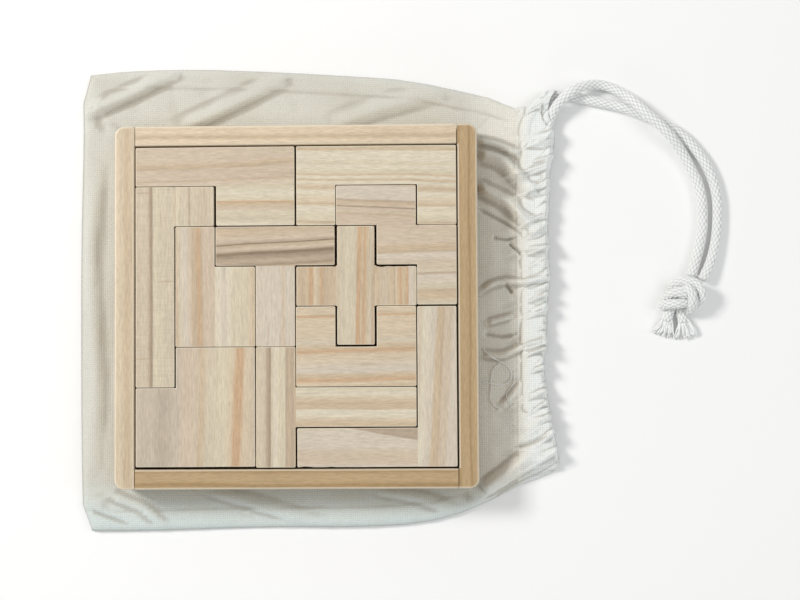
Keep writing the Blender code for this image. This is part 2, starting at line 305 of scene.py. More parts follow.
def wood(name, box, grain, bands, seed, lines=0.5, flecks=0.5, waver=0.6, slant=0.0, saw=0.0,
         gloss=0.5, wedge=None):
    """Planed wood whose bands run along the grain.

    grain is the axis that the grain follows, and bands are the tones across it, from the back or
    from the left.  seed moves the noise, so that no two boards are alike.
    wedge is a darker corner of the board: where it starts along the length, and its slope.
    """
    n = Nodes(name)
    low, high = box
    across_x = grain == "y"
    start, width = (low.x, high.x - low.x) if across_x else (high.y, high.y - low.y)
    turn = (0, 0, math.radians(90)) if across_x else (0, 0, 0)
    along = n.mapping(n.coords, turn=turn, move=(seed * 0.37, seed * 0.61, seed * 0.23))
    x, y, z = n.split(n.coords)
    edge = n.sub(x, start) if across_x else n.sub(start, y)
    lengthwise = y if across_x else x
    first, last = (low.y, high.y) if across_x else (low.x, high.x)
    tilt = n.mul(n.sub(lengthwise, (first + last) / 2), slant)
    cross = n.add(n.add(edge, tilt), n.mul(n.sub(z, TILE_TOP), 0.35))

    # The bands wander a little along the board
    wander = n.sub(n.noise((16, 70, 70), 3, source=along), 0.5)
    cross = n.add(cross, n.mul(wander, waver * 3.5 * MM))
    colour = n.ramp(n.math("DIVIDE", cross, width), tone_stops(bands))
    if wedge:
        begin, slope = wedge
        depth = n.sub(lengthwise, first + begin * (last - first))
        depth = n.add(n.sub(n.mul(depth, slope), edge), n.mul(wander, 2 * MM))
        dark = n.mix(n.noise((500, 900, 900), 2, source=along), TONES["umber"], TONES["clay"])
        colour = n.mix(n.remap(depth, -0.1 * MM, 0.4 * MM, 0.0, 0.9), colour, dark)

    # Broad clouds, faint growth lines, sanding speckle and single darker lines
    cloud = n.noise((30, 80, 80), 2, source=along)
    growth = n.noise((16, 760, 760), 3, 0.6, source=along)
    thread = n.noise((280, 2100, 2100), 2, 0.65, source=along)
    value = n.mul(n.remap(cloud, 0.3, 0.7, 0.975, 1.025),
                  n.remap(growth, 0.35, 0.65, 1 - 0.05 * lines, 1 + 0.03 * lines))
    value = n.mul(value, n.remap(thread, 0.32, 0.68, 0.87, 1.10))
    colour = n.scaled(colour, value)
    streak = n.noise((34, 620, 620), 1.5, source=along, move=(0.7, 0.2, 0))
    colour = n.tinted(colour, streak, 0.66, 0.75, 0.5 * lines, (166, 138, 108))
    pores = n.noise((330, 2400, 2400), 1.5, 0.7, source=along)
    patch = n.noise((60, 160, 160), 1, source=along, move=(0.3, 0.1, 0))
    pore_at = n.mul(n.remap(pores, 0.70 - 0.04 * flecks, 0.78, 0.0, 0.7 * flecks),
                    n.remap(patch, 0.42, 0.62, 0.1, 1.0))
    colour = n.mix(pore_at, colour, srgb(120, 100, 82))

    height = n.add(n.mul(thread, 0.7), n.mul(growth, 0.3))
    if saw:  # saw marks run across the grain
        marks = n.noise((1300, 110, 110), 2, 0.6, source=along)
        height = n.add(height, n.mul(marks, saw))
        colour = n.scaled(colour, n.remap(marks, 0.35, 0.65, 1 - 0.06 * saw, 1 + 0.03 * saw))
        cut = n.noise((420, 40, 40), 1, source=along)
        colour = n.tinted(colour, cut, 0.68, 0.76, 0.4 * saw, (170, 140, 108))
    height = n.sub(height, n.mul(pore_at, 0.8))

    # Painted highlight: the rounded upper edges are painted paler
    colour = n.tinted(colour, n.attribute("painted_edge_highlight"), 0.0, 1.0, 0.55, (236, 226, 206))
    normal = n.bump(height, 0.04 * MM, 0.7)
    return n.finish(colour, n.remap(growth, 0.3, 0.7, gloss - 0.04, gloss + 0.08), normal)


LEFT, RIGHT, FRONT, BACK = range(4)
OUTWARD = (Vector((-1, 0)), Vector((1, 0)), Vector((0, -1)), Vector((0, 1)))


def cells_of(nodes):
    """The unit squares that CAD blocks cover, as (column, row) with row 0 at the back."""
    cells = set()
    for node in nodes:
        low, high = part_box(node)
        first, last = (round(x / PITCH + CELLS / 2) for x in (low.x, high.x))
        top, bottom = (round(CELLS / 2 - y / PITCH) for y in (high.y, low.y))
        cells |= {(column, row) for column in range(first, last) for row in range(top, bottom)}
    return cells


def board_sides(cells, family, air):
    """The sides round a board, anticlockwise: start, end, the way it faces, and if it is glued.

    A side is glued where another board of the same tile lies against it.  The air on the left,
    right, front and back is how far each free side stands in from its unit squares.
    """
    steps = {}
    for column, row in cells:
        for start, end, facing, beside in (
            ((column, row + 1), (column + 1, row + 1), FRONT, (column, row + 1)),
            ((column + 1, row + 1), (column + 1, row), RIGHT, (column + 1, row)),
            ((column + 1, row), (column, row), BACK, (column, row - 1)),
            ((column, row), (column, row + 1), LEFT, (column - 1, row)),
        ):
            if beside not in cells:
                steps[start] = (end, facing, beside in family)
    here = min(steps)
    walk = []
    for _ in range(len(steps)):
        end, facing, glued = steps[here]
        walk.append((here, facing, glued))
        here = end
    lines = []
    for (corner, facing, glued), before in zip(walk, walk[-1:] + walk[:-1]):
        if (facing, glued) != before[1:]:
            place = Vector(((corner[0] - CELLS / 2) * PITCH, (CELLS / 2 - corner[1]) * PITCH))
            inset = 0 if glued else air[facing]
            lines.append((place, place - OUTWARD[facing] * inset, facing, glued))

    def meet(k, other, corner):
        """Where side k meets the other side, or where it starts or ends if both run straight on."""
        _, line, facing, _ = lines[k]
        _, other_line, other_facing, _ = lines[other % len(lines)]
        upright = facing in (LEFT, RIGHT)
        across = corner if upright == (other_facing in (LEFT, RIGHT)) else other_line
        return Vector((line.x, across.y)) if upright else Vector((across.x, line.y))

    return [
        (meet(k, k - 1, corner), meet(k, k + 1, lines[(k + 1) % len(lines)][0]), facing, glued)
        for k, (corner, _, facing, glued) in enumerate(lines)
    ]


def turns_left(come, leave):
    return come.x * leave.y - come.y * leave.x > 0.5


def outline_of(sides, radius, wobble, seed):
    """Points round the sides, each with the way its edge is rounded inwards (none where glued)."""
    step = 2.2 * MM
    still = Vector((0, 0))
    points = []
    for k, (start, end, facing, glued) in enumerate(sides):
        _, before_end, before_facing, before_glued = sides[k - 1]
        _, _, next_facing, next_glued = sides[(k + 1) % len(sides)]
        come, leave, ahead = OUTWARD[before_facing], OUTWARD[facing], OUTWARD[next_facing]
        from_point = start
        if before_facing == facing:  # glued ground begins or ends on a straight side
            points.append((before_end, still if before_glued else leave))
            points.append((start, still if glued else leave))
        elif turns_left(come, leave) and not glued and not before_glued:
            centre = start - (come + leave) * radius
            segments = 4 if radius < 1.5 * MM else 10
            for arc in range(segments + 1):
                angle = math.pi / 2 * arc / segments
                normal = come * math.cos(angle) + leave * math.sin(angle)
                points.append((centre + normal * radius, normal))
            from_point = start - come * radius
        else:
            rounding = (still if before_glued else come) + (still if glued else leave)
            points.append((start, rounding))
        rounded_next = turns_left(leave, ahead) and not glued and not next_glued
        stop = end - ahead * (radius if rounded_next else 0)
        pieces = max(1, round((stop - from_point).length / step))
        for piece in range(1, pieces):
            place = from_point.lerp(stop, piece / pieces)
            points.append((place, still if glued else leave))
    moved = []
    for point, normal in points:
        drift = noise.noise(Vector((point.x * 90, point.y * 90, seed * 7.3)))
        fine = noise.noise(Vector((point.x * 420, point.y * 420, seed * 3.1)))
        moved.append((point + normal * ((drift * 0.7 + fine * 0.3) * wobble), normal))
    return moved


def plank(name, sides, bottom, top, radius, edge, seed, material, chips=(), wobble=0.05 * MM):
    """A solid board: its outline raised through rings that round the lower and upper edges.

    chips are (x, y, radius, depth): places where the upper edge has broken away.
    """
    outline = outline_of(sides, radius, wobble, seed)
    lower_edge = 0.3 * MM
    steps = 5
    turns = [math.sin(math.pi / 2 * k / steps) for k in range(steps + 1)]
    pairs = list(zip(reversed(turns), turns))
    levels = [(bottom + lower_edge * (1 - turn), lower_edge * (1 - rise)) for turn, rise in pairs]
    levels += [(top - edge * (1 - rise), edge * (1 - turn)) for turn, rise in pairs]
    bm = bmesh.new()
    painted_edge_highlight = bm.verts.layers.float.new("painted_edge_highlight")
    rings = []
    for number, (height, inset) in enumerate(levels):
        ring = []
        for point, normal in outline:
            place = point - normal * inset
            z = height
            if height > top - 1.5 * edge:
                for chip_x, chip_y, chip_radius, depth in chips:
                    near = (place - Vector((chip_x, chip_y))).length / chip_radius
                    if near < 1:
                        rough = noise.noise(Vector((place.x * 2500, place.y * 2500, 0)))
                        bite = depth * (1 - near * near) * (0.75 + 0.5 * rough)
                        z -= bite
                        place = place - normal * (0.4 * bite)
            vertex = bm.verts.new((place.x, place.y, z))
            # the rings of the rounded upper edge carry the painted highlight
            if len(levels) - steps <= number < len(levels) - 1 and normal.length:
                vertex[painted_edge_highlight] = 1.0
            ring.append(vertex)
        rings.append(ring)
    skin(bm, rings)
    bmesh.ops.remove_doubles(bm, verts=bm.verts, dist=1e-6)
    piece = new_object(name, bm, material)
    # Keeps the wide flat faces flat in the shading while the rounded edges stay smooth
    modifier = piece.modifiers.new("weighted_normals", "WEIGHTED_NORMAL")
    modifier.mode = "FACE_AREA"
    modifier.weight = 80
    return piece


def board(grain, air, bands, blocks="", **special):
    """One board: its grain's axis, the air on its left, right, front and back in millimetres, its
    bands from the back or the left, its CAD blocks, and what is special about its wood."""
    return grain, air, bands, blocks.split(), special


BOARDS = {
    "ramp_bar": board(
        "x", (0.3, 0.37, 0.12, 0.4),
        "0 blush 20 sand 36 blush 43 honey 50 tan 56 blush 78 blush 82 tan 85 blush 100 beige",
        lines=0.7, flecks=0.5, slant=0.03, waver=1.2,
    ),
    "ramp_foot": board(
        "x", (0.4, 0.37, 0.2, 0.05),
        "0 straw 20 cream 37 straw 40 rust 46 honey 58 blush 66 straw 85 beige 100 cream",
        lines=0.4, flecks=0.2, waver=0.4,
    ),
    "bridge": board(
        "x", (0.36, 0.12, 0.12, 0.35),
        "0 straw 7 honey 9 cream 20 cream 24 straw 27 cream 36 straw 38 honey 41 cream 45 honey "
        "47 cream 55 honey 60 cream 72 peach 75 honey 79 cream 94 straw 97 tan 100 straw",
        lines=0.5, flecks=0.08, waver=0.7, slant=-0.02,
        blocks="bridge_bar bridge_left_foot bridge_right_foot",
    ),
    "thumb_bar": board(
        "y", (0.3, 0.3, 0.1, 0.15),
        "0 beige 12 sand 20 beige 33 sand 38 clay 41 umber 44 umber 47 beige 52 straw 80 beige "
        "100 beige",
        lines=0.6, flecks=0.3, saw=0.8, waver=0.3,
    ),
    "thumb_cube": board(
        "y", (0.05, 0.5, 0.12, 0.15),
        "0 tan 4 straw 10 beige 30 beige 36 clay 40 beige 70 sand 100 beige",
        lines=0.9, flecks=0.3, waver=0.3,
    ),
    "stair_top": board(
        "x", (0.15, 0.14, 0.05, 0.15),
        "0 tan 5 pale 36 pale 41 clay 47 honey 53 blush 57 umber 60 blush 70 sand 75 tan "
        "78 blush 100 blush",
        lines=0.8, flecks=0.7, slant=-0.05, waver=0.5,
    ),
    "stair_lower": board(
        "x", (0.2, 0.15, 0.35, 0.05),
        "0 blush 10 sand 22 blush 26 honey 33 tan 36 pale 50 sand 58 beige 61 clay 64 pale "
        "78 beige 82 tan 88 honey 100 beige",
        lines=0.5, flecks=0.25, waver=0.6, slant=0.03, blocks="stair_middle stair_foot",
    ),
    "tee_bar": board(
        "x", (0.2, 0.5, 0.25, 0.2),
        "0 clay 6 honey 32 blush 40 clay 43 brown 46 tan 56 blush 60 clay 64 brown 67 brown "
        "72 umber 85 clay 95 umber 100 tan",
        lines=0.9, flecks=1.0, slant=0.05, waver=0.8,
    ),
    "tee_stem": board(
        "y", (0.12, 0.3, 0.08, 0.05),
        "0 honey 4 pale 30 pale 60 pale 70 blush 78 pale 100 pale",
        lines=0.4, flecks=0.9,
    ),
    "flag_long_bar": board(
        "y", (0.2, 0.2, 0.12, 0.12),
        "0 tan 6 honey 10 beige 28 pale 40 blush 45 tan 52 tan 60 rust 68 tan 73 blush 90 blush "
        "100 sand",
        lines=0.6, flecks=0.3, slant=0.01, waver=0.7,
    ),
    "flag_short_bar": board(
        "y", (0.05, 0.12, 0.12, 0.1),
        "0 cream 10 cream 25 pale 35 cream 50 straw 75 straw 90 peach 100 honey",
        lines=0.6, flecks=0.1, waver=0.5,
    ),
    "plus_bar": board(
        "y", (0.5, 0.75, 0.65, 0.3),
        "0 peach 10 beige 30 straw 50 beige 54 rust 60 rust 64 honey 70 rust 76 honey 84 beige "
        "92 tan 100 peach",
        lines=0.6, flecks=0.1, waver=0.7, slant=-0.03,
    ),
    "plus_left_arm": board(
        "y", (0.3, 0.05, 0.1, 0.35),
        "0 honey 15 tan 30 honey 35 rust 42 rust 47 peach 58 honey 66 rust 72 tan 100 honey",
        lines=0.7, flecks=0.3, waver=0.4,
    ),
    "plus_right_arm": board(
        "y", (0.05, 0.05, 0.1, 0.35),
        "0 honey 20 sand 42 honey 45 clay 48 peach 60 rust 68 honey 78 rust 82 pale 100 beige",
        lines=0.7, flecks=0.3, waver=0.3,
    ),
    "cup": board(
        "x", (0.12, 0.3, 0.15, 0.12),
        "0 peach 8 peach 11 rust 14 peach 34 peach 44 beige 51 honey 55 rust 60 peach 80 pale "
        "86 honey 92 rust 96 peach 100 honey",
        lines=0.6, flecks=0.08, waver=0.8, slant=0.02,
        blocks="cup_base cup_left_wall cup_right_wall",
    ),
    "big": board(
        "y", (0.4, 0.2, 0.7, 0.1),
        "0 beige 7 grey 16 grey 24 slate 34 grey 45 blush 52 sand 55 honey 62 beige 75 straw "
        "80 peach 83 rust 87 rust 90 peach 100 sand",
        lines=0.35, flecks=0.55, waver=1.6, slant=-0.02, blocks="big_top big_body",
    ),
    "hammer_head": board(
        "y", (0.2, 0.2, 0.3, 0.1),
        "0 peach 14 beige 24 sand 27 clay 36 umber 39 beige 50 cream 60 straw 72 straw 76 clay "
        "84 tan 92 clay 95 tan 100 honey",
        lines=0.7, flecks=0.15, waver=0.25,
    ),
    "hammer_handle": board(
        "x", (0.05, 0.35, 0.25, 0.1),
        "0 straw 20 cream 27 peach 40 honey 54 honey 57 cream 72 cream 80 peach 92 honey "
        "100 peach",
        lines=0.6, flecks=0.08, waver=0.5,
    ),
    "angle_long_arm": board(
        "y", (0.15, 0.35, 0.4, 0.3),
        "0 beige 10 cream 36 pale 42 honey 50 honey 56 tan 62 blush 75 sand 85 pale 100 pale",
        lines=0.35, flecks=0.1, slant=-0.06, waver=0.5,
    ),
    "angle_short_arm": board(
        "x", (0.5, 0.05, 0.4, 0.25),
        "0 beige 12 pale 45 pale 60 sand 80 blush 100 pale",
        lines=0.15, flecks=0.5, wedge=(0.44, 0.19),
    ),
}

# How far each tile is turned in its place, in degrees
TURNS = {"thumb_tile": 0.10, "ramp_tile": 0.12, "big_tile": 0.05, "hammer_tile": -0.05,
         "tee_tile": 0.06, "plus_tile": -0.08, "cup_tile": 0.04, "angle_tile": 0.04}

# Chips in the upper edge of a board's last block: the place as shares of the block's width and
# depth from its left front corner, then radius and depth in millimetres
CHIPS = {
    "plus_right_arm": [(0.12, 0.98, 1.6, 0.7), (0.45, 0.98, 2.2, 0.5), (0.7, 0.98, 1.3, 0.4)],
    "angle_short_arm": [(0.08, 0.0, 2.6, 0.9), (0.28, 0.02, 1.4, 0.5)],
    "big": [(0.13, 0.04, 0.8, 0.5)],
}


def chip_at(node, x_share, y_share, radius, depth):
    low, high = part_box(node)
    x, y = low.x + x_share * (high.x - low.x), low.y + y_share * (high.y - low.y)
    return x, y, radius * MM, depth * MM


def tile_boards():
    """The boards of the eleven tiles.  A board sawn from one plank spans several blocks."""
    bodies = frame["record"]["behaviour"]["bodies"]
    body_of = {node: body for body, nodes in bodies.items() for node in nodes}
    for seed, (name, (grain, air, bands, nodes, special)) in enumerate(BOARDS.items()):
        nodes = nodes or [name]
        boxes = [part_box(node) for node in nodes]
        low = Vector([min(box[0][k] for box in boxes) for k in range(3)])
        high = Vector([max(box[1][k] for box in boxes) for k in range(3)])
        material = wood(f"wood_{name}", (low, high), grain, bands, seed + 1, **special)
        body = body_of[nodes[0]]
        sides = board_sides(cells_of(nodes), cells_of(bodies[body]), [side * MM for side in air])
        rise = 0.10 * MM * noise.noise(Vector((len(body) * 1.7, seed * 0.01, 0.5)))
        chips = [chip_at(nodes[-1], *chip) for chip in CHIPS.get(name, ())]
        piece = plank(
            f"board_{name}", sides, DECK, TILE_TOP + rise, 0.6 * MM, 0.36 * MM, seed + 1, material,
            chips,
        )
        boxes = [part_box(node) for node in bodies[body]]
        centre = Vector([
            sum(box[0][k] + box[1][k] for box in boxes) / 2 / len(boxes) for k in range(3)
        ])
        turn = Matrix.Rotation(math.radians(TURNS.get(body, 0)), 4, "Z")
        piece.data.transform(Matrix.Translation(centre) @ turn @ Matrix.Translation(-centre))
        belongs(piece, body, "tile_wood", *nodes)


# ------ tray

# Painted light: the left and back rails get paler bands for the glare and light that fall on them,
# and the right and front rails get darker ones, with a painted shadow along the well
RAIL_BANDS = {
    "rail_left": "0 apricot 35 peach 60 honey 100 peach",
    "rail_right": "0 bronze 20 gold 50 gold 62 bronze 70 gold 100 gold",
    "rail_back": "0 apricot 30 apricot 55 honey 75 apricot 100 peach",
    "rail_front": "0 bronze 30 gold 60 gold 80 bronze 100 gold",
}


def rail_sides(name):
    """A piece's sides: the side rails run full length, with the two others glued in between."""
    low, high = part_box(name)
    a, b = Vector((low.x, low.y)), Vector((high.x, low.y))
    c, d = Vector((high.x, high.y)), Vector((low.x, high.y))
    between = name in ("rail_front", "rail_back")
    right = [(b, c, RIGHT, between)]
    left = [(d, a, LEFT, between)]
    if name == "rail_left":
        first, second = Vector((high.x, -WELL_HALF)), Vector((high.x, WELL_HALF))
        right = [(b, first, RIGHT, True), (first, second, RIGHT, False), (second, c, RIGHT, True)]
    if name == "rail_right":
        first, second = Vector((low.x, WELL_HALF)), Vector((low.x, -WELL_HALF))
        left = [(d, first, LEFT, True), (first, second, LEFT, False), (second, a, LEFT, True)]
    return [(a, b, FRONT, False), *right, (c, d, BACK, False), *left]


def plywood():
    """Five veneers: pale faces and darker cores, seen on the panel's edges."""
    n = Nodes("plywood")
    low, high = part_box("tray_base")
    share = n.math("DIVIDE", n.sub(n.split(n.coords)[2], low.z), high.z - low.z)
    wave = n.sub(n.noise((60, 60, 0), 2), 0.5)
    pale, dark, glue = srgb(214, 196, 164), srgb(176, 145, 106), srgb(112, 86, 60)
    layers = n.ramp(
        n.add(share, n.mul(wave, 0.06)),
        [(0.0, pale), (0.18, pale), (0.20, glue), (0.22, dark), (0.38, dark), (0.40, glue),
         (0.42, pale), (0.59, pale), (0.61, glue), (0.63, dark), (0.79, dark), (0.81, glue),
         (0.83, pale), (1.0, pale)],
    )
    fibres = n.noise((900, 60, 1600), 3, 0.6)
    colour = n.tinted(layers, fibres, 0.45, 0.75, 0.5, (150, 118, 84))
    return n.finish(colour, n.remap(fibres, 0.3, 0.7, 0.55, 0.7), n.bump(fibres, 0.08 * MM, 0.8))


def tray_pieces():
    for seed, (name, bands) in enumerate(RAIL_BANDS.items(), start=41):
        low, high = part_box(name)
        grain = "y" if name in ("rail_left", "rail_right") else "x"
        material = wood(
            f"wood_{name}", (low, high), grain, bands, seed, lines=0.7, flecks=0.35, waver=1.0,
            gloss=0.4,
        )
        rail = plank(
            f"tray_{name}", rail_sides(name), low.z, high.z, TRAY_CORNER, 0.9 * MM, seed, material
        )
        belongs(rail, "tray", "rail_wood", name)
    low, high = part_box("tray_base")
    base = plank(
        "tray_base_panel", rail_sides("tray_base"), low.z, high.z, TRAY_CORNER, 0.3 * MM, 77,
        plywood(), wobble=0.04 * MM,
    )
    belongs(base, "tray", "plywood", "tray_base")


# ------ bag


def cotton_cloth(name, tones, doubled_and_lit):
    """Unbleached plain weave: crossing threads of uneven thickness, with slubs and seed flecks.

    The last argument is how a paler colour comes in along X: from, to, share there. It blends the
    darker cloth into the whiter hem, whose paler look is partly its two layers of cloth and partly
    painted light.
    """
    n = Nodes(name)
    bow = n.mul(n.sub(n.noise(9, 2), 0.5), 1.6 * MM)  # the threads bow a little over the cloth
    x, y, z = n.split(n.coords)
    across = n.mul(n.add(x, bow), math.pi / THREAD)
    along = n.mul(n.add(y, bow), math.pi / THREAD)
    warp = n.math("ABSOLUTE", n.math("SINE", across))
    weft = n.math("ABSOLUTE", n.math("SINE", along))
    over = n.remap(n.mul(n.math("COSINE", across), n.math("COSINE", along)), -0.25, 0.25)
    warp = n.mul(warp, n.remap(n.noise((900, 160, 160), 2), 0.3, 0.7, 0.6, 1.15))
    weft = n.mul(weft, n.remap(n.noise((160, 900, 160), 2), 0.3, 0.7, 0.6, 1.15))
    weave = n.add(n.mul(warp, over), n.mul(weft, n.sub(1.0, over)))

    colour = n.ramp(n.noise(22, 3), list(zip((0.3, 0.55, 0.75), tones)))
    # Painted light, partly the paler two-layer hem: the cloth pales along X towards the hem's
    # colour
    colour = n.mix(n.remap(x, *doubled_and_lit), colour, srgb(241, 238, 228))
    # Painted light: a strip along the bag's front is tinted cool, for the cool light from the front
    colour = n.tinted(colour, y, -0.071, -0.088, 0.75, (220, 234, 235))
    slub = n.math("MAXIMUM", n.noise((70, 1700, 200), 2, 0.6), n.noise((1700, 70, 200), 2, 0.6))
    colour = n.tinted(colour, slub, 0.66, 0.80, 0.35, (204, 193, 168))
    # Painted shade: the cloth is darker in the valleys between the threads
    colour = n.tinted(colour, weave, 0.75, 0.15, 0.30, (178, 171, 155))
    colour = n.scaled(colour, n.remap(n.noise(1900, 2, 0.7), 0.3, 0.7, 0.92, 1.08))
    colour = n.tinted(colour, n.noise(1000, 1), 0.78, 0.84, 0.5, (140, 116, 84))
    # Painted shade: the cloth is darkened where it lies below the places beside it, in its creases
    # and folds
    colour = n.tinted(colour, n.attribute("hollow"), 0.0, 1.0, 0.45, (154, 144, 128))
    normal = n.bump(weave, 0.16 * MM, 0.8)
    n.cotton_sheen(0.25, 0.5)
    return n.finish(colour, 0.92, n.bump(n.noise(160, 3), 0.45 * MM, 0.6, normal))


def bag_outline():
    """The outline of the bag's CAD panel as its front, right, back and left, anticlockwise."""
    vertices = frame["nodes"]["bag_front_panel"].data.vertices
    points = np.array(sorted({(round(v.co.x, 6), round(v.co.y, 6)) for v in vertices}))
    middle = (points.min(0) + points.max(0)) / 2
    ring = points[np.argsort(np.arctan2(points[:, 1] - middle[1], points[:, 0] - middle[0]))]
    towards = [(-1, -1), (1, -0.2), (1, 0.2), (-1, 1)]  # each corner lies farthest one such way
    at = [int(np.argmax(ring @ np.array(way))) for way in towards]
    return [
        ring[start:end + 1] if end > start else np.concatenate([ring[start:], ring[:end + 1]])
        for start, end in zip(at, at[1:] + at[:1])
    ]


def along_side(side, shares):
    reach = lengths_along(side)
    return np.stack([np.interp(shares * reach[-1], reach, side[:, k]) for k in range(2)], axis=-1)


def patch_between(start, end, low, high, u, v):
    """Plan places of a grid between four sides: u runs from start to end, v from low to high."""
    low, high = along_side(low, u), along_side(high, u)
    start, end = along_side(start, v), along_side(end, v)
    uu, vv = (grid[..., None] for grid in np.meshgrid(u, v, indexing="ij"))
    corners = (
        (1 - uu) * (1 - vv) * low[0] + uu * (1 - vv) * low[-1]
        + uu * vv * high[-1] + (1 - uu) * vv * high[0]
    )
    rows = (1 - vv) * low[:, None] + vv * high[:, None]
    return rows + (1 - uu) * start[None] + uu * end[None] - corners


# Folds of the bag's upper side in millimetres: height (below 0 for a crease), reach to the left
# and to the right of the line, and the line itself
FOLDS = [
    (2.4, 3.2, 1.8, [(74, 70), (83, 68), (90, 65), (95, 62)]),
    (3.4, 3.4, 5.5, [(74, 65.4), (82, 63.6), (88, 60.2), (93, 55), (98, 50)]),
    (3.9, 4.6, 4.4, [(73, 51.5), (84, 46.2), (89.5, 42.6), (95, 36.5), (99, 33)]),
    (-1.5, 1.4, 1.1, [(74, 42.2), (84, 36.8), (90, 33), (94.5, 29.6)]),
    (-1.4, 1.3, 0.8, [(81, 29.2), (87.3, 28.2), (91.2, 28.9)]),
    (-1.7, 1.2, 0.8, [(87.8, 27), (91.2, 23.9), (94.6, 20.8)]),
    (2.1, 2, 2.2, [(76, 6.5), (81, 9.4), (86.7, 10.7), (94.3, 10.2), (105, 12.6)]),
    (-1.8, 1.2, 1.4, [(86.7, 10), (88.4, 7.4), (90, 5)]),
    (1.2, 1.8, 1.8, [(79, -6.8), (84, -5.4), (89, -4.2)]),
    (-1.4, 1.6, 1.2, [(77, -11.3), (85.8, -12.6), (90.5, -11.6)]),
    (1.5, 2.6, 2, [(76, -20), (84, -20.6), (91, -18.4), (96, -15.5)]),
    (1.2, 2, 3, [(84, -42), (90, -36), (95, -30)]),
    (2.9, 4.4, 4.6, [(74, -78), (82, -72.5), (90, -66.5), (97, -61.5), (102, -58.5)]),
    (-1.2, 1.6, 1.1, [(90, -59.2), (97, -57.4), (103, -54.2)]),
    (3.2, 6, 4.2, [(-92, 82.5), (-84, 85.5), (-70, 91.5), (-54, 99.2)]),
    (2.5, 7, 4.2, [(-52, 75), (-30, 85), (-8, 95.8)]),
    (1.5, 7, 5, [(12, 76), (34, 84), (58, 90)]),
    (-1, 2, 4, [(-91.5, 90), (-86, 83), (-83, 74)]),
    (1.6, 4, 4.5, [(-86, 60), (-88, 20), (-86, -30), (-87, -66)]),
    (-1.3, 1.8, 1.1, [(-91, -84.2), (-82.4, -86.8), (-72, -90.6)]),
    (1.4, 3, 3, [(-80, -78), (-66, -84), (-58, -91)]),
    (1.2, 5, 3.5, [(-40, -76), (-20, -82), (10, -91)]),
    (1, 4, 3.5, [(30, -76), (50, -80), (66, -86)]),
]

# The sleeve's outer edge from its front corner to the tip at its back end, and the two short ends
SLEEVE_EDGE = [
    (109, -66), (108.4, -60.5), (107, -53.3), (105.8, -48), (105, -41), (103.8, -35),
    (103.2, -28), (103, -22), (103.8, -15), (104.3, -8), (104.4, 0), (105.2, 7),
    (105.9, 12.7), (105.4, 20), (105.2, 27), (105.1, 33), (105.6, 40), (105.9, 47),
    (106.1, 54), (106.6, 60), (107.4, 65), (108.2, 70), (108.3, 73.5), (107.2, 76.5),
    (105.6, 79.5), (105.2, 82.5), (106, 86.5), (107.5, 89.8), (108.8, 91.9),
]
SLEEVE_FRONT = [(91.3, -75), (98.9, -72.2), (106.6, -68.9), (109, -66)]
SLEEVE_BACK = [(91.3, 84.1), (94.6, 84.7), (97.4, 84.9), (99.8, 87.6), (104.4, 91.2), (108.8, 91.9)]
NECK = [(96, 70), (96.6, 76), (98.6, 81), (102.4, 85.6), (107.6, 89)]  # over strand b
MOUTH = 76.5  # beyond this the sleeve's outer edge is its open end


def fold_heights(x, y):
    """Height that the folds add at places in millimetres."""
    added = np.zeros_like(x)
    for height, left_reach, right_reach, line in FOLDS:
        line = smooth_points(line, 14)[:, :2]
        nearest = np.full(x.shape, 1e9)
        side = np.zeros_like(x)
        share = np.zeros_like(x)
        for k, (a, b) in enumerate(zip(line, line[1:])):
            d = b - a
            t = np.clip(((x - a[0]) * d[0] + (y - a[1]) * d[1]) / d.dot(d), 0, 1)
            px, py = x - a[0] - t * d[0], y - a[1] - t * d[1]
            distance = np.hypot(px, py)
            closer = distance < nearest
            nearest = np.where(closer, distance, nearest)
            side = np.where(closer, d[0] * py - d[1] * px, side)
            share = np.where(closer, (k + t) / (len(line) - 1), share)
        bump = np.clip(1 - nearest / np.where(side > 0, left_reach, right_reach), 0, 1)
        bump = bump * bump * (3 - 2 * bump) if height > 0 else bump
        fade = soft_step(share, 0, 0.18) * (1 - 0.85 * soft_step(share, 0.7, 1.0))
        added += height * bump * (fade if height < 0 else 0.25 + 0.75 * fade)
    return added


def edge_x(y):
    """Where the sleeve's outer edge is, in millimetres, at a place along the hem."""
    edge = np.array(SLEEVE_EDGE)
    return np.interp(y, edge[:, 1], edge[:, 0])


def gathers(x, y):
    """Ridges that the drawn cord throws up: they start at the outer edge and run to the left."""
    depth = np.maximum(edge_x(y) - x, -1)
    ridges = np.zeros_like(x)
    for period, height, reach, lean, seed in (
        (3.4, 2.1, 5.0, 0.40, 3.0), (6.6, 3.4, 10.5, 0.50, 5.0), (12.5, 3.4, 18.0, 0.42, 8.0),
    ):
        wander = lattice(y / (2.1 * period), depth / (3 * period), seed) * 0.75 * period
        ridge = np.abs(np.sin(np.pi * (y + lean * depth + wander) / period)) ** 0.7
        if period > 5:  # the wider gathers are narrow ridges with wide valleys
            ridge = 1 - ridge
        strength = 0.62 + 0.9 * lattice(y / (1.8 * period), depth * 0, seed + 40)
        fade = np.exp(-((np.maximum(depth, 0) / reach) ** 2))
        ridges += height * np.clip(strength, 0.1, 1.2) * ridge * fade
    return ridges


def beyond_tray(x, y):
    return np.maximum(np.abs(x), np.abs(y)) - TRAY_HALF / MM


def under_tray(x, y):
    """The highest that the cloth may reach: just under the tray, and free beside it."""
    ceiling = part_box("tray_base")[0].z / MM - CLEARANCE
    return ceiling + 2.2 * np.maximum(beyond_tray(x, y) - 0.4, 0)


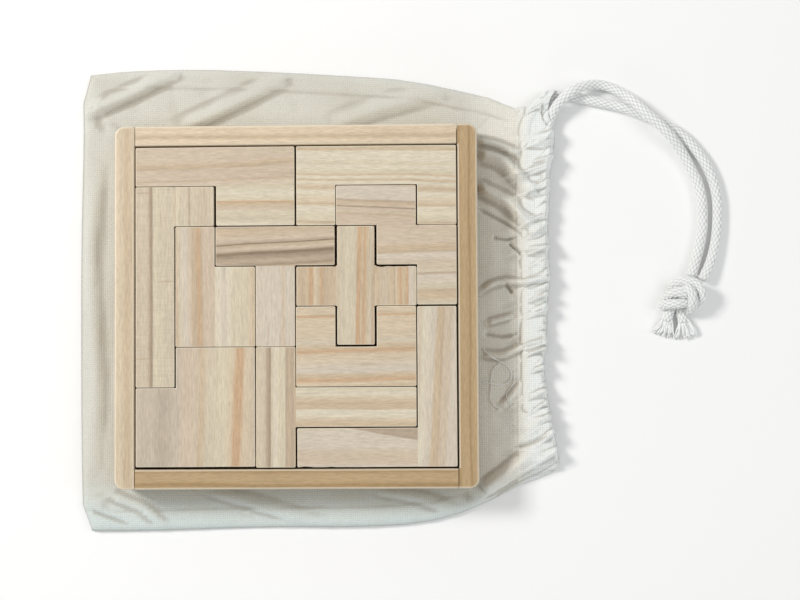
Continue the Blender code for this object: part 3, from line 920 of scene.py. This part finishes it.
def bag_height(x, y):
    """Height of the bag's upper cloth in millimetres, before its edges roll down."""
    out = beyond_tray(x, y)
    swell = 0.9 + 1.1 * lattice(x / 42, y / 42, 2.0) + 0.45 * lattice(x / 13, y / 13, 9.0)
    z = 2.7 + soft_step(out, -3, 8) * swell
    ends = soft_step(np.minimum(y + 77, 88 - y), 0, 16)
    slope = np.clip((x - 79) / 25, 0, 1)
    z = z + (0.6 * slope + 0.4 * soft_step(x, 79, 104)) * (1.6 + 2.6 * ends)
    z += 1.7 * ends * soft_step(x, 79, 89) * lattice(x / 15, y / 9, 14.0)
    z += soft_step(out, -2, 4) * fold_heights(x, y) * (1 + 0.35 * soft_step(x, 70, 80))
    z += (gathers(x, y) - 1.8) * soft_step(x, 74, 96) * (0.30 + 0.70 * ends)
    # the bag's front corner slopes down in front of the last fold
    before = -69.9 + (x - 92.5) * 0.613 - y
    corner = soft_step(x, 70, 88) * (y < -40)
    z -= corner * 0.9 * np.clip(before, 0, 4.6)
    crest = np.exp(-((np.minimum(before, 0) / 3.0) ** 2) - np.maximum(before, 0) ** 2)
    z = np.maximum(z + corner * 1.5 * crest, 1.4)
    # it rises over the second strand at its neck
    gap = np.min([np.hypot(x - p[0], y - p[1]) for p in smooth_points(NECK, 24)], axis=0)
    crest = 6.9 - np.clip(gap / 3.4, 0, 1.6) ** 2 * 2.2
    z = np.where(y > 66, z + (np.maximum(z, crest) - z) * soft_step(y, 66, 74), z)
    return np.minimum(z, under_tray(x, y))


def bag_sheet(name, front_side, material):
    """One side of the bag as a sheet of cloth with thickness."""
    if front_side:
        u = np.concatenate([np.linspace(0, 0.885, 112)[:-1], np.linspace(0.885, 1, 52)])
        v = np.linspace(0, 1, 300)
    else:
        u = v = np.linspace(0, 1, 90)
    front, right, back, left = bag_outline()
    plan = patch_between(left[::-1], right, front, back[::-1], u, v)
    x, y = plan[..., 0] / MM, plan[..., 1] / MM
    uu, vv = np.meshgrid(u, v, indexing="ij")
    from_end = uu * BAG_LENGTH
    rim = np.minimum(from_end, np.minimum(vv, 1 - vv) * BAG_WIDTH)  # in from the sewn sides
    if front_side:
        z = bag_height(x, y)
        # the seam allowance lies folded inside the sewn sides
        z += 0.4 * (1 - soft_step(rim, 7.0, 8.5)) * soft_step(np.abs(y), 78, 82)
        z = 1.0 + (z - 1.0) * rolled(rim, EDGE_ROLL)
        # the seams pucker the edges
        z += 0.14 * np.sin(y / 1.3) * np.exp(-((from_end / 2) ** 2)) * (uu > 0)
        z += 0.12 * np.sin(x / 1.4) * np.exp(-((rim / 2) ** 2))
        z = np.minimum(z, under_tray(x, y))
    else:
        z = 0.25 + 0.45 * (1 - np.clip(rim / EDGE_ROLL, 0, 1)) ** 2
        z += 0.2 * np.clip(lattice(x / 30, y / 30, 21.0), 0, 1)
    return cloth_from_grid(name, x, y, z, material, up=front_side)


def cloth_from_grid(name, x, y, z, material, up):
    """A sheet of cloth with thickness from a grid of places in millimetres.

    Its "hollow" attribute is how far each place lies below the places beside it; the cloth's
    material darkens the cloth by it as painted shade in the creases.
    """
    bm = bmesh.new()
    hollow = bm.verts.layers.float.new("hollow")
    rows, columns = x.shape
    grid = [
        [bm.verts.new((x[i, j] * MM, y[i, j] * MM, z[i, j] * MM)) for j in range(columns)]
        for i in range(rows)
    ]
    wide = np.pad(z, 2, mode="edge")
    beside = (wide[4:, 2:-2] + wide[:-4, 2:-2] + wide[2:-2, 4:] + wide[2:-2, :-4]) / 4
    for i, j in np.argwhere(beside > z + 0.02):
        grid[i][j][hollow] = min(1.0, float(beside[i, j] - z[i, j]) / 0.16)
    for i in range(rows - 1):
        for j in range(columns - 1):
            bm.faces.new((grid[i][j], grid[i + 1][j], grid[i + 1][j + 1], grid[i][j + 1]))
    sheet = new_object(name, bm, material)
    thick = sheet.modifiers.new("cloth_thickness", "SOLIDIFY")
    thick.thickness = CLOTH
    thick.offset = -1 if up else 1
    return sheet


def hidden_route():
    """The cord's way through the sleeve in millimetres: in on its inner side, back on its outer."""
    inner = [(INNER_LEG, y) for y in (68.2, 30.0, -20.0, -40.0)]
    turn = [(96.5, -42.4), (98.4, -43.9), (100.4, -43.4)]
    outer = [
        (float(edge_x(y)) - 3.15, y)
        for y in (-39.0, -30.0, -20.0, -10.0, 0.0, 12.0, 24.0, 36.0, 48.0, 60.0)
    ]
    route = inner + turn + outer + [(104.9, 68.4)]
    return smooth_points([(x, y, CORD_LEVEL) for x, y in route], 260)


def height_over_cord(x, y, ridges):
    """The lowest that the sleeve may lie over the hidden cord in it; 0 where there is none."""
    away = np.full(x.shape, 1e9)
    for place in hidden_route():
        away = np.minimum(away, np.hypot(x - place[0], y - place[1]))
    between_legs = (x > INNER_LEG - 0.05) & (x < edge_x(y) - 3.1) & (y > -42)
    away = np.where(between_legs, 0, away)
    radius = CORD_DIAMETER / MM / 2
    over = CORD_LEVEL + np.sqrt(np.clip(radius ** 2 - np.maximum(away - 0.5, 0) ** 2, 0, None))
    over = over + 0.75 + 0.85 * np.maximum(ridges - 1.6, 0)
    return np.where(away < radius + 0.45, over, 0)


def casing_sleeve(material):
    """The gathered sleeve round the drawstring, open at its back end where the cord comes out."""
    front, back = smooth_points(SLEEVE_FRONT, 40)[:, :2], smooth_points(SLEEVE_BACK, 60)[:, :2]
    edge = smooth_points(SLEEVE_EDGE, 400)[:, :2]
    stitched = np.array([SLEEVE_FRONT[0], SLEEVE_BACK[0]])
    s, v = np.linspace(0, 1, 46) ** 0.9, np.linspace(0, 1, 470)
    plan = patch_between(stitched, edge, front, back, s, v)
    x, y = plan[..., 0], plan[..., 1]
    ss, vv = np.meshgrid(s, v, indexing="ij")
    ridges = gathers(x, y)
    puff = np.clip((ridges - 2.9) * 0.30, -0.35, 0.9)
    x = x + puff * soft_step(ss, 0.55, 1.0) * soft_step(MOUTH - y, -2, 4)
    z = np.maximum(bag_height(x, y), height_over_cord(x, y, ridges))
    wide = edge_x(y) - HEM_SEAM
    from_edge = (1 - ss) * wide
    open_end = soft_step(y, MOUTH - 1.0, MOUTH + 1.5)
    roll = rolled(from_edge + 0.02, 2.4)
    roll = roll + (1 - roll) * open_end
    from_ends = np.minimum(vv * 160, (1 - vv) * 168) + 0.02
    z = 0.9 + (z - 0.9) * roll * rolled(from_ends, EDGE_ROLL)
    z += 0.25 * np.exp(-((ss * wide / 1.5) ** 2))  # a little lift at the seam and at the mouth
    z += 0.25 * open_end * np.exp(-((from_edge / 1.2) ** 2))
    upper = cloth_from_grid("bag_hem_sleeve", x, y, z, material, up=True)
    s, v = np.linspace(0, 1, 12), np.linspace(0, 1, 120)
    plan = patch_between(stitched, edge, front, back, s, v)
    x, y = plan[..., 0], plan[..., 1]
    flat = 0.45 + 0.2 * lattice(x / 9, y / 9, 31.0)
    return upper, cloth_from_grid("bag_hem_sleeve_under", x, y, flat, material, up=False)


def on_cloth(x, y, lift):
    place = np.array([[x]]), np.array([[y]])
    return (x * MM, y * MM, (float(bag_height(*place)[0, 0]) + lift) * MM)


def loose_threads(material):
    """Three curly ends of thread that hang off the hem."""
    routes = [
        [(77.0, -17.4), (79.0, -19.8), (81.6, -21.6), (85.4, -23.6), (88.6, -26.4), (88.8, -30.2),
         (85.6, -32.6), (81.2, -32.3), (76.5, -31.3)],
        [(84.6, -23.2), (81.4, -26.2), (80.5, -30.0), (80.3, -34.5), (80.0, -38.5), (81.7, -41.6),
         (84.4, -42.8)],
        [(90.2, -27.6), (89.8, -32.2), (87.2, -35.6), (86.9, -38.0), (88.7, -41.4)],
    ]
    bm = bmesh.new()
    for number, route in enumerate(routes):
        places = np.array([on_cloth(p[0], p[1], 0.6) for p in smooth_points(route, 70)])
        add_yarn(bm, places, 0.19 * MM, twist=number, sides=6)
    return tube_object("loose_threads", bm, material)


def stitch_line(material):
    """Short stitches of the seam that closes the sleeve."""
    stitches, points_each = 70, 6
    lift = [-0.12, 0.10, 0.14, 0.10, -0.12]
    line = smooth_points(
        [(92.9, 83.0), (92.2, 77.0), (91.6, 70.0), (90.4, 62.0), (90.9, 40.0), (91.2, 20.0),
         (90.4, 0.0), (90.0, -20.0), (89.6, -40.0), (90.0, -56.0), (91.2, -62.0), (92.0, -68.5),
         (92.6, -73.5)],
        1 + stitches * points_each,
    )
    bm = bmesh.new()
    for k in range(stitches):
        part = line[k * points_each:]
        places = np.array([on_cloth(p[0], p[1], up) for p, up in zip(part, lift)])
        add_yarn(bm, places, 0.16 * MM, twist=k, sides=6)
    return tube_object("hem_stitches", bm, material)


def bag_pieces():
    # Painted light and shade: the cloth comes in a darker copy for the bag's sides and a whiter,
    # cooler copy for the hem and its stitches; the hem's paler look is partly real, from its two
    # layers of cloth
    cloth = cotton_cloth(
        "cotton_cloth",
        (srgb(215, 213, 202), srgb(222, 221, 212), srgb(229, 229, 222)), (0.070, 0.082, 0.0, 0.9),
    )
    hem_cloth = cotton_cloth(
        "cotton_hem",
        (srgb(240, 243, 241), srgb(245, 249, 248), srgb(250, 254, 254)), (0.091, 0.098, 0.9, 0.0),
    )
    front = bag_sheet("bag_front_cloth", True, cloth)
    back = bag_sheet("bag_back_cloth", False, cloth)
    sleeve, sleeve_bottom = casing_sleeve(hem_cloth)
    # Painted light: the loose threads get the whiter cord cotton, so that they stand out bright in
    # the tray's shadow
    threads = loose_threads(braided_cotton("stray_cotton"))
    stitches = stitch_line(hem_cloth)
    belongs(front, "bag", "cotton_cloth", "bag_front_panel")
    belongs(back, "bag", "cotton_cloth", "bag_back_panel")
    belongs(sleeve, "bag", "cotton_cloth", "hem_casing")
    belongs(sleeve_bottom, "bag", "cotton_cloth", "hem_casing")
    belongs(threads, "bag", "cotton_cloth")
    belongs(stitches, "bag", "cotton_cloth")


# ------ drawstring

# Visible passes of the doubled cord through the overhand knot, each an arch over its core
KNOT_PASSES = [
    [(155.3, 3, 1.2), (154.8, 4, 4.5), (157, 5.2, 8.2), (160.2, 4.9, 8.5), (163.2, 4, 6),
     (164, 3, 3)],
    [(153.4, -0.4, 1.2), (152.8, 0.2, 4.2), (155.2, 0.6, 8), (159, 0.7, 8.4), (162, 1.4, 6),
     (163.4, 2, 3)],
    [(156.6, 7.8, 1.4), (157.4, 8.8, 5), (160.2, 9.8, 7), (164.2, 9.8, 7.8), (167.6, 7.6, 8.2),
     (168.6, 4, 7.2), (167, 0.8, 5), (164.6, -1.2, 2.8)],
    [(161.2, 7.8, 4), (162.4, 7.2, 8), (164.2, 4.4, 9.4), (164.4, 1, 8.2), (163.4, -1.4, 4.8),
     (162.4, -2, 2.4)],
]


def braided_cotton(name):
    """White braided cotton: fine fibres on each yarn, with painted shade in the valleys between the
    yarns.
    """
    n = Nodes(name)
    hair = n.noise(2600, 3, 0.6)
    colour = n.tinted(srgb(250, 251, 251), hair, 0.4, 0.7, 0.25, (228, 231, 230))
    colour = n.tinted(colour, n.noise(300, 2), 0.4, 0.7, 0.2, (232, 232, 225))
    # Painted shade: the cord is darker in the valleys of its braid
    colour = n.tinted(colour, n.attribute("valley"), 0.0, 1.0, 0.62, (150, 152, 146))
    n.cotton_sheen(0.3, 0.4)
    return n.finish(colour, 0.85, n.bump(hair, 0.09 * MM, 0.7))


def braid_height(around, along):
    """Relief of a plain braid, 0 in a valley and 1 on a yarn; around in turns, along in metres."""
    a = YARNS * around + along / BRAID_PITCH / 2
    b = YARNS * around - along / BRAID_PITCH / 2
    a_over = (np.floor(a) + np.floor(b)) % 2 == 0
    across, lengthwise = np.where(a_over, a, b) % 1, np.where(a_over, b, a) % 1
    return np.sin(np.pi * across) ** 0.75 * np.sin(np.pi * lengthwise) ** 0.45


def tube_frames(points):
    """Two steady normals along a line of points, at right angles to it and to each other."""
    tangents = np.gradient(points, axis=0)
    tangents /= np.linalg.norm(tangents, axis=1)[:, None]
    normal = np.cross(tangents[0], [0.0, 0.0, 1.0])
    normals = [normal / np.linalg.norm(normal)]
    for tangent in tangents[1:]:
        kept = normals[-1] - tangent * normals[-1].dot(tangent)
        normals.append(kept / np.linalg.norm(kept))
    normals = np.array(normals)
    return normals, np.cross(tangents, normals)


def add_braid(bm, points, radius, start=0.0, around=56, floor=0.0):
    """Adds a braided tube with closed ends along the points, kept above the floor."""
    normals, sides = tube_frames(points)
    reach = lengths_along(points) + start
    turns = np.arange(around) / around
    cos, sin = np.cos(turns * 2 * math.pi), np.sin(turns * 2 * math.pi)
    valley = bm.verts.layers.float.get("valley") or bm.verts.layers.float.new("valley")
    rings = []
    for k, point in enumerate(points):
        relief = braid_height(turns, reach[k])
        rim = min(k, len(points) - 1 - k)
        close = math.sin(min(rim / 3, 1) * math.pi / 2) * 0.35 + 0.65
        r = radius * close * (0.80 + 0.20 * relief)
        ring = point + np.outer(cos * r, normals[k]) + np.outer(sin * r, sides[k])
        ring[:, 2] = np.maximum(ring[:, 2], floor)
        rings.append([bm.verts.new(place) for place in ring])
        for vertex, height in zip(rings[-1], relief):
            vertex[valley] = max(0.0, 1 - 1.6 * height)
    skin(bm, rings)


def add_yarn(bm, points, radius, twist=0, sides=8):
    """Adds a thin tube with rounded ends and a lengthwise ridge for its twist."""
    normals, across = tube_frames(points)
    rings = []
    for k, point in enumerate(points):
        close = 0.55 if k in (0, len(points) - 1) else 1.0
        ring = []
        for j in range(sides):
            angle = 2 * math.pi * j / sides + twist + k * 0.5
            r = radius * close * (1 + 0.16 * math.cos(2 * (angle - twist)))
            place = point + (normals[k] * math.cos(angle) + across[k] * math.sin(angle)) * r
            place[2] = max(place[2], 0.05 * MM)
            ring.append(bm.verts.new(place))
        rings.append(ring)
    skin(bm, rings)


def strand(name, route, material):
    path = smooth_points(route, 480) * MM
    bm = bmesh.new()
    add_braid(bm, path, CORD_DIAMETER / 2)
    return tube_object(name, bm, material), path


def knot(material):
    bm = bmesh.new()
    for number, route in enumerate(KNOT_PASSES):
        path = smooth_points(route, 90) * MM
        add_braid(bm, path, CORD_DIAMETER * 0.47, number * 0.7 * MM, around=48, floor=FLOOR_GAP)
    low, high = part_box("drawstring_knot")
    centre = (Vector(low) + Vector(high)) / 2
    core = bmesh.ops.create_icosphere(bm, subdivisions=3, radius=1.0)
    for vertex in core["verts"]:
        vertex.co = vertex.co * Vector((5.6 * MM, 3.8 * MM, 3.6 * MM)) + centre
    return tube_object("drawstring_overhand_knot", bm, material)


def tail(name, start, heading, seed, material):
    """A short braided stub that opens into its loose yarns."""
    rng = random.Random(seed)
    yarns, hairs = 32, 14
    along = Vector((math.cos(heading), math.sin(heading), 0))
    across = Vector((-along.y, along.x, 0))
    base = Vector((*start, 2.3)) * MM
    bm = bmesh.new()
    sink = Vector((0, 0, -0.1 * MM))
    stub = [base + along * (t * 6.2 * MM) + sink * t for t in np.linspace(-0.25, 1, 40)]
    add_braid(bm, np.array(stub), CORD_DIAMETER * 0.5, around=48, floor=FLOOR_GAP)
    for yarn in range(yarns):
        side = (yarn + 0.5) / yarns * 2 - 1 + rng.uniform(-0.06, 0.06)
        level = Vector((0, 0, rng.uniform(-0.7, 0.7) * 1.3 * MM))
        root = base + along * (4.6 * MM) + across * (side * 1.7 * MM) + level
        length = rng.uniform(6.3, 8.4) * MM * (1 - 0.10 * side * side)
        spread = side * 0.46 + rng.uniform(-0.10, 0.10)
        points = []
        for t in np.linspace(0, 1, 12):
            curl = 0.25 * MM * math.sin(t * rng.uniform(5, 6) + yarn)
            sideways = length * t * spread * (0.6 + 0.4 * t) + curl
            place = root + along * (length * t) + across * sideways
            place.z = max(0.45 * MM, root.z - 1.0 * MM * t + 0.3 * MM * math.sin(t * 5 + yarn))
            points.append(place)
        add_yarn(bm, np.array(points), rng.uniform(0.36, 0.5) * MM, twist=seed + yarn)
    for hair in range(hairs):
        side = rng.uniform(-1, 1)
        root = base + along * (rng.uniform(3, 9) * MM) + across * (side * 2.0 * MM)
        length = rng.uniform(2.5, 5.5) * MM
        lean = side * rng.uniform(0.5, 1.6)
        points = []
        for t in np.linspace(0, 1, 8):
            sideways = length * t * lean * 0.6 + 0.5 * MM * math.sin(3 * t + hair)
            place = root + along * (length * t * 0.7) + across * sideways
            place.z = max(0.15 * MM, 1.6 * MM * (1 - t) + 0.2 * MM)
            points.append(place)
        add_yarn(bm, np.array(points), 0.06 * MM, sides=5)
    return tube_object(name, bm, material)


def drawstring_pieces():
    cotton = braided_cotton("braided_cotton")
    knotted = knot(cotton)
    tail_a = tail("frayed_tail_a", (156.0, -0.6), math.radians(-107), 5, cotton)
    tail_b = tail("frayed_tail_b", (160.0, -1.0), math.radians(-79), 11, cotton)
    a, path_a = strand("drawstring_a", STRAND_A_ROUTE, cotton)
    b, path_b = strand("drawstring_b", STRAND_B_ROUTE, cotton)
    belongs(a, "bag", "cotton_cord", "drawstring_strand_a")
    belongs(b, "bag", "cotton_cord", "drawstring_strand_b")
    belongs(knotted, "bag", "cotton_cord", "drawstring_knot")
    belongs(tail_a, "bag", "cotton_cord", "cord_tail_a")
    belongs(tail_b, "bag", "cotton_cord", "cord_tail_b")
    bm = bmesh.new()
    add_braid(bm, hidden_route() * MM, CORD_DIAMETER / 2, around=24)
    hidden = tube_object("drawstring_in_sleeve", bm, cotton)
    belongs(hidden, "bag", "cotton_cord", "drawstring_in_casing")


# ------ floor, light and camera


def add_area(name, place, target, size, power, colour):
    data = bpy.data.lights.new(name, "AREA")
    data.shape = "RECTANGLE"
    data.size, data.size_y = size
    data.energy = power
    data.color = colour
    lamp = bpy.data.objects.new(name, data)
    lamp.location = place
    lamp.rotation_euler = (Vector(target) - Vector(place)).to_track_quat("-Z", "Y").to_euler()
    bpy.context.scene.collection.objects.link(lamp)


def studio():
    n = Nodes("pale_floor")
    speck = n.noise(3, 2)
    pale = n.finish(n.ramp(speck, [(0.0, (0.96, 0.96, 0.96)), (1.0, (0.99, 0.99, 0.99))]), 0.9)
    bm = bmesh.new()
    bmesh.ops.create_grid(bm, x_segments=2, y_segments=2, size=1.6)
    new_object("floor", bm, pale)

    world = bpy.data.worlds.new("soft_room")
    bpy.context.scene.world = world
    world.use_nodes = True
    background = world.node_tree.nodes["Background"]
    background.inputs["Color"].default_value = (0.985, 0.985, 0.975, 1)
    background.inputs["Strength"].default_value = 0.48
    add_area("window", (-0.66, 0.36, 0.80), (0, 0, 0), (0.26, 0.26), 6.9, (1.0, 0.985, 0.96))
    add_area("side", (0.75, 0.05, 0.75), (0.08, 0, 0), (0.6, 0.4), 1.75, (0.97, 0.99, 1.0))
    add_area("front", (0.05, -0.85, 0.38), (0, -0.05, 0), (0.8, 0.4), 0.9, (0.86, 0.95, 1.0))
    bpy.context.scene.view_settings.view_transform = "Standard"


def camera():
    data = bpy.data.cameras.new("camera")
    data.sensor_width = 36
    data.lens = 85
    data.clip_start = 0.01
    eye = bpy.data.objects.new("camera", data)
    eye.location = (0.0647, -0.0344, 0.7974)
    eye.rotation_euler = (math.radians(2.70), math.radians(1.625), math.radians(-0.32))
    bpy.context.scene.collection.objects.link(eye)
    bpy.context.scene.camera = eye


tile_boards()
tray_pieces()
bag_pieces()
drawstring_pieces()
studio()
camera()
